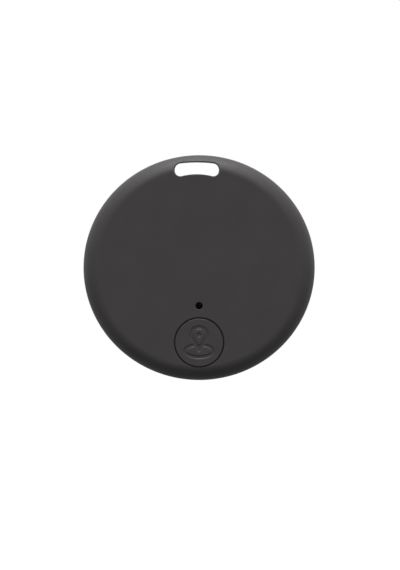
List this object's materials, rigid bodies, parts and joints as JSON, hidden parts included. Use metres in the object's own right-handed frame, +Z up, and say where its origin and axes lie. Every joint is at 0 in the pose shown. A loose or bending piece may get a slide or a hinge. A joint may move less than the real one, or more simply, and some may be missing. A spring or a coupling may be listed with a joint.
{
  "type": "bluetooth tracker tag",
  "caption": "Round pebble-shaped key finder tag with a key-ring slot through its top edge, a push button with a location sign, a sound hole and a coin cell behind a pull-off rear cover.",
  "frame": {"origin": "middle of the case, in the plane where the front shell meets the rear cover", "axes": "+Z up towards the key-ring slot, +Y out of the rear cover, -Y out of the button face, +X to the right when the button face is looked at"},
  "size_m": [0.04, 0.008, 0.0388],
  "materials": {
    "shell_plastic": "matte",
    "button_plastic": "matte",
    "mesh_fabric": "matte",
    "tape": "matte",
    "brass_sheet": "satin",
    "piezo_ceramic": "matte",
    "spring_metal": "polished",
    "board_laminate": "satin",
    "screw_steel": "satin",
    "gold_copper": "satin",
    "chip_resin": "matte",
    "white_ceramic": "matte",
    "lid_metal": "satin",
    "capacitor_ceramic": "matte",
    "resistor_ceramic": "satin",
    "tin_plate": "satin",
    "ferrite": "matte",
    "switch_resin": "matte",
    "frame_metal": "satin",
    "plunger_resin": "matte",
    "cell_steel": "satin",
    "gasket_resin": "matte",
    "cell_filling": "matte",
    "cradle_resin": "matte"
  },
  "bodies": {
    "case": {"front_shell": "shell_plastic", "sound_mesh": "mesh_fabric", "buzzer_tape_ring": "tape", "buzzer_plate": "brass_sheet", "buzzer_ceramic": "piezo_ceramic", "buzzer_contacts": "spring_metal", "circuit_board": "board_laminate", "board_screws": "screw_steel", "antenna_trace": "gold_copper", "test_pads": "gold_copper", "bluetooth_chip": "chip_resin", "crystal_base": "white_ceramic", "crystal_lid": "lid_metal", "capacitor_bodies": "capacitor_ceramic", "resistor_bodies": "resistor_ceramic", "component_end_caps": "tin_plate", "boost_inductor": "ferrite", "drive_transistor": "chip_resin", "transistor_legs": "tin_plate", "switch_base": "switch_resin", "switch_frame": "frame_metal", "switch_dome": "spring_metal", "switch_terminals": "tin_plate", "cell_can": "cell_steel", "cell_gasket": "gasket_resin", "cell_cap": "cell_steel", "cell_core": "cell_filling", "cell_cradle": "cradle_resin", "positive_contact": "spring_metal", "negative_contact": "spring_metal"},
    "button": {"button_cap": "button_plastic"},
    "plunger": {"switch_plunger": "plunger_resin"},
    "cover": {"rear_cover": "shell_plastic"}
  },
  "joints": [
    {"name": "button_press", "type": "slide", "parent": "case", "child": "button", "axis": [0, 1, 0], "range_m": [0, 0.00022], "stiffness_N_per_m": 6000},
    {"name": "plunger_travel", "type": "slide", "parent": "case", "child": "plunger", "axis": [0, 1, 0], "range_m": [0, 0.00022], "deforming": ["switch_dome"]},
    {"name": "cover_pull_off", "type": "slide", "parent": "case", "child": "cover", "axis": [0, 1, 0], "range_m": [0, 0.02]}
  ],
  "couplings": [
    {"joint": "plunger_travel", "follows": "button_press", "ratio": 1}
  ]
}
